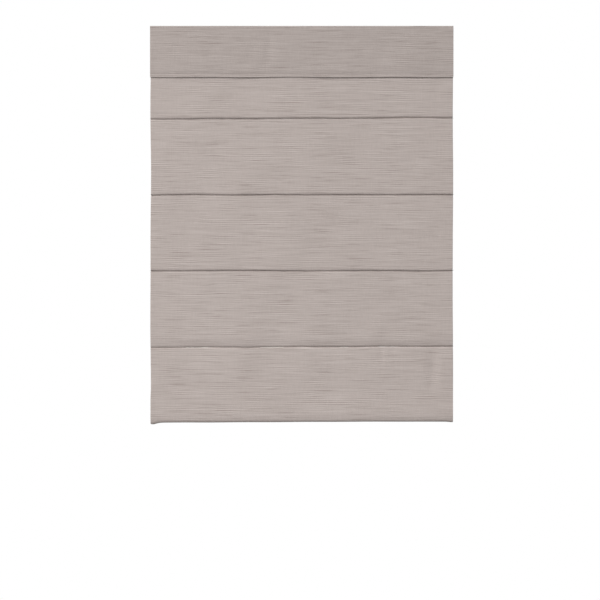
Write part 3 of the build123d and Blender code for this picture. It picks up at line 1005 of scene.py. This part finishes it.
def makeLiftCord(side, name, finish):
    look = cordLook
    x = side * cordX
    split = barHeight + look["splitAbove"]
    radius = look["radius"]

    def upright(start, end, rows):
        return [(x, cordY, height) for height in np.linspace(start, end, rows)]

    hang = tube(upright(railLow.z, split, rows=40), radius, sides=10)
    hanging = addPiece("lift_cord_hang_" + name, *hang[:2], [finish])
    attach(hanging, "headrail")
    1 - liftTravel / (railLow.z - split)
    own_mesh(hanging)
    wind = shaftY - cordY
    turn = np.linspace(0, look["turns"] * 2 * pi, num=130)
    coil = np.stack([x - side * look["turnPitch"] * turn / (2 * pi),
                     shaftY - wind * np.cos(turn), shaftZ + wind * np.sin(turn)], 1)
    rise = upright(railLow.z, shaftZ, rows=6)[:-1]
    turns = tube(np.concatenate([rise, coil]), radius, sides=10)
    wound = addPiece("lift_cord_turns_" + name, *turns[:2], [finish])
    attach(wound, "headrail")
    turn = np.linspace(0, 2 * pi, num=60, endpoint=False)
    loops = np.stack([np.sin(turn) + 2 * np.sin(2 * turn), np.cos(turn) - 2 * np.cos(2 * turn),
                      -look["knotDepth"] * np.sin(3 * turn)], 1)
    knotPlace = np.array((x, cordY, barHeight - look["knotDrop"]))
    sideways, backwards = look["tailLean"]
    tail = [(x + sideways * share, cordY + backwards * share ** 2, knotPlace[2] - look["tailLength"] * share)
            for share in np.linspace(0, 1, num=8)]
    knot = [tube(upright(split, knotPlace[2], rows=8), radius, sides=10),
            tube(knotPlace + loops * look["knotSize"], radius, sides=9, closed=True),
            tube(tail, radius, sides=9)]
    knotted = addPiece("lift_cord_knot_" + name, *joined(knot)[:2], [finish])
    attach(knotted, "bottom_rail")
    for piece in (hanging, wound, knotted):
        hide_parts("lift_cord_" + name)


cordFinish = braidedCord()
for side, name in ((-1, "left"), (1, "right")):
    makeLiftCord(side, name, cordFinish)
print("lift cords ready")


# Moulded, metal and tape finishes: the two colours that the grain of each blends

partColours = {
    "whitePlastic": ((0.78, 0.78, 0.755), (0.85, 0.85, 0.83)),
    "greyPlastic": ((0.50, 0.51, 0.475), (0.60, 0.61, 0.57)),
    "milkyPlastic": ((0.70, 0.73, 0.73), (0.84, 0.86, 0.86)),
    "powderCoat": ((0.77, 0.77, 0.755), (0.83, 0.83, 0.82)),
    "shaftSteel": ((0.46, 0.46, 0.46), (0.64, 0.64, 0.63)),
    "millAluminium": ((0.62, 0.62, 0.63), (0.78, 0.78, 0.79)),
    "zincPlate": ((0.36, 0.36, 0.355), (0.56, 0.56, 0.55)),
    "bluedSpring": ((0.26, 0.29, 0.40), (0.52, 0.52, 0.54)),
    "coatedRib": ((0.70, 0.70, 0.68), (0.42, 0.42, 0.42)),
    "hookTape": ((0.60, 0.60, 0.58), (0.80, 0.80, 0.78)),
    "loopTape": ((0.68, 0.68, 0.66), (0.84, 0.84, 0.82)),
}


def partFinish(finish, share, **sockets):
    first, second = (solidColour(*colour) for colour in partColours[finish.material.name])
    return finish.paint(Base_Color=finish.blended(share, first, second), **sockets)


def mouldedPlastic(name, roughness):
    finish = Finish(name)
    flow = finish.grainIn((30, 45, 45), 3.0)
    texture = finish.grainIn(1500) - noiseMiddle
    return partFinish(finish, flow + texture * 0.3, Roughness=roughness + texture * 0.16,
                      Normal=finish.bumped(texture, 0.02 * mm))


def milkyPlastic():
    finish = Finish("milkyPlastic")
    flow = finish.grainIn(160, 3.0)
    return partFinish(finish, flow, Roughness=0.28 + flow * 0.12,
                      Subsurface_Weight=0.25, Subsurface_Radius=(2 * mm, 2 * mm, 2 * mm))


def powderCoat():
    finish = Finish("powderCoat")
    peel = finish.grainIn(700) - noiseMiddle
    dust = finish.grainIn((14, 40, 40), 4.0)
    return partFinish(finish, dust, Roughness=0.36 + peel * 0.12 + dust * 0.06,
                      Normal=finish.bumped(peel, 0.03 * mm))


def drawnMetal(name, roughness):
    finish = Finish(name)
    drawn = finish.grainIn((12, 1600, 1600), 3.0) - noiseMiddle
    haze = finish.grainIn((22, 60, 60), 3.0)
    return partFinish(finish, haze + drawn * 0.7, Metallic=1.0,
                      Roughness=roughness + drawn * 0.2 + haze * 0.1,
                      Normal=finish.bumped(drawn, 0.01 * mm))


def zincPlate():
    finish = Finish("zincPlate")
    spangle = finish.cells(260, "Color")
    bright = finish.add("ShaderNodeSeparateColor", inputs={0: spangle})
    haze = finish.grainIn(50, 3.0)
    return partFinish(finish, bright * 0.5 + haze * 0.5, Metallic=1.0,
                      Roughness=0.30 + bright * 0.14 + haze * 0.08)


def bluedSpring():
    finish = Finish("bluedSpring")
    temper = finish.grainIn((60, 120, 120), 3.0)
    scuffs = finish.grainIn((30, 2500, 2500)) - noiseMiddle
    return partFinish(finish, temper, Metallic=1.0, Roughness=0.26 + scuffs * 0.2 + temper * 0.08)


def coatedRib():
    finish = Finish("coatedRib")
    peel = finish.grainIn(900) - noiseMiddle
    chips = finish.clamped(finish.grainIn(380), 0.66, 0.72)
    return partFinish(finish, chips, Roughness=0.45 + peel * 0.2, Metallic=chips * 0.8,
                      Normal=finish.bumped(peel - chips, 0.02 * mm))


def tapePile(name, steps):
    finish = Finish(name)
    pile = finish.cells(steps, "Distance")
    fuzz = finish.grainIn(1800, 3.0) - noiseMiddle
    return partFinish(finish, pile * 1.2 + fuzz * 0.5, Roughness=0.85 + fuzz * 0.2,
                      Normal=finish.bumped(pile + fuzz * 0.4, 0.3 * mm))


def softenEdges(node):
    weld = node.modifiers.new("weld", "WELD")
    weld.merge_threshold = 0.002 * mm
    bevel = node.modifiers.new("softEdges", "BEVEL")
    bevel.width = 0.25 * mm
    bevel.segments = 2
    bevel.limit_method = "ANGLE"
    bevel.angle_limit = radians(40)
    bevel.harden_normals = True


def dressNodes():
    white, grey = mouldedPlastic("whitePlastic", 0.42), mouldedPlastic("greyPlastic", 0.5)
    milky, zinc, rib = milkyPlastic(), zincPlate(), coatedRib()
    finishes = {
        "headrail": powderCoat(), "lift_shaft": drawnMetal("shaftSteel", 0.28), "lift_spools": white,
        "motor_case": white, "motor_cover": white, "motor_spring": bluedSpring(),
        "drive_drum": grey, "storage_drum": grey, "bottom_bar": drawnMetal("millAluminium", 0.34),
        "hook_tape": tapePile("hookTape", 1300), "loop_tape": tapePile("loopTape", 800),
    }
    for name in ("left", "right"):
        finishes["headrail_cap_" + name] = white
        finishes["spool_cradle_" + name] = white
        finishes["bracket_" + name] = zinc
        finishes["bottom_bar_cap_" + name] = grey
        finishes["cord_anchor_" + name] = milky
    for number in range(1, ribCount + 1):
        finishes["rib_%d" % number] = rib
    for name, finish in finishes.items():
        node = frame["nodes"][name]
        node.data.materials.clear()
        node.data.materials.append(finish)
        if finish in (white, grey, milky, zinc):
            softenEdges(node)
    return milky


milkyFinish = dressNodes()
print("finishes on the solid parts ready")


# Cord rings sewn to the tucks

ringLook = {
    "wire": 0.75 * mm,
    "loopRadius": 1.0 * mm,
    "loopOut": 0.35,                 # of its radius, away from the ring's middle
    "thread": 0.2 * mm,
    "loops": (-1.3 * mm, -0.45 * mm, 0.45 * mm, 1.3 * mm),
}


def makeRings(number):
    look = ringLook
    low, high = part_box("cord_rings_%d" % number)
    height = (low.z + high.z) / 2
    middle = (high.y - low.y) / 2 - look["wire"]
    steps = 48
    turn = np.arange(steps) * 2 * pi / steps
    up = np.array((0.0, 0.0, 1.0))
    rings, loops = [], []
    for side in (-1, 1):
        circle = np.stack([side * cordX + middle * np.sin(turn), cordY - middle * np.cos(turn),
                           np.full(steps, height)], 1)
        rings.append(tube(circle, look["wire"], sides=10, closed=True))
        for shift in look["loops"]:
            lean = shift / middle
            place = np.array((side * cordX + middle * sin(lean), cordY - middle * cos(lean), height))
            away = np.array((sin(lean), -cos(lean), 0.0))
            loop = [place + look["loopRadius"] * (away * (cos(bend) + look["loopOut"]) + up * sin(bend))
                    for bend in turn[::3]]
            loops.append(tube(loop, look["thread"], sides=6, closed=True))
    points, faces, normals, owner = joined(rings + loops)
    piece = addPiece("cord_rings_sewn_%d" % number, points, faces, [milkyFinish, threadFinish],
                     (owner >= len(rings)).astype(int), normals)
    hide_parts("cord_rings_%d" % number)
    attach(piece, "rib_%d" % number)


# Stitches of the hem and of the cord anchors, on the back

hemSewing = {
    "pitch": 4.4 * mm,
    "ends": 5.0 * mm,
    "plate": 1.2 * mm,               # thickness of an anchor's plate
    "plateInset": 1.2 * mm,
    "plateShares": (-0.62, -0.2, 0.2, 0.62),     # of the plate's half height
    "plateStitch": (4.2 * mm, 0.3 * mm),
}


def makeHemStitches():
    look = hemSewing
    back = clothFront + 2 * fold["thickness"] + fold["layerGap"]
    seam = hemTop - fold["hemSeam"] / 2
    inner = halfCloth - look["ends"]
    sewn = [stitch((x, back, seam), (1, 0, 0), (0, 1, 0), *fold["stitch"])
            for x in np.arange(-inner, inner, look["pitch"])]
    reachX, reachZ = (anchorHigh.x - anchorLow.x) / 2, (anchorHigh.z - anchorLow.z) / 2
    plateTop = anchorLow.y + look["plate"]
    for side in (-1, 1):
        for end in (-1, 1):
            edge = side * cordX + end * (reachX - look["plateInset"])
            for share in look["plateShares"]:
                sewn.append(stitch((edge, plateTop, barHeight + share * reachZ), (1, 0, 0), (0, 1, 0),
                                   *look["plateStitch"]))
    points, faces, normals = joined(sewn)[:3]
    piece = addPiece("hem_stitches", points, faces, [threadFinish], None, normals)
    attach(piece, "bottom_rail")


for number in range(1, ribCount + 1):
    makeRings(number)
makeHemStitches()
print("rings and stitches ready")
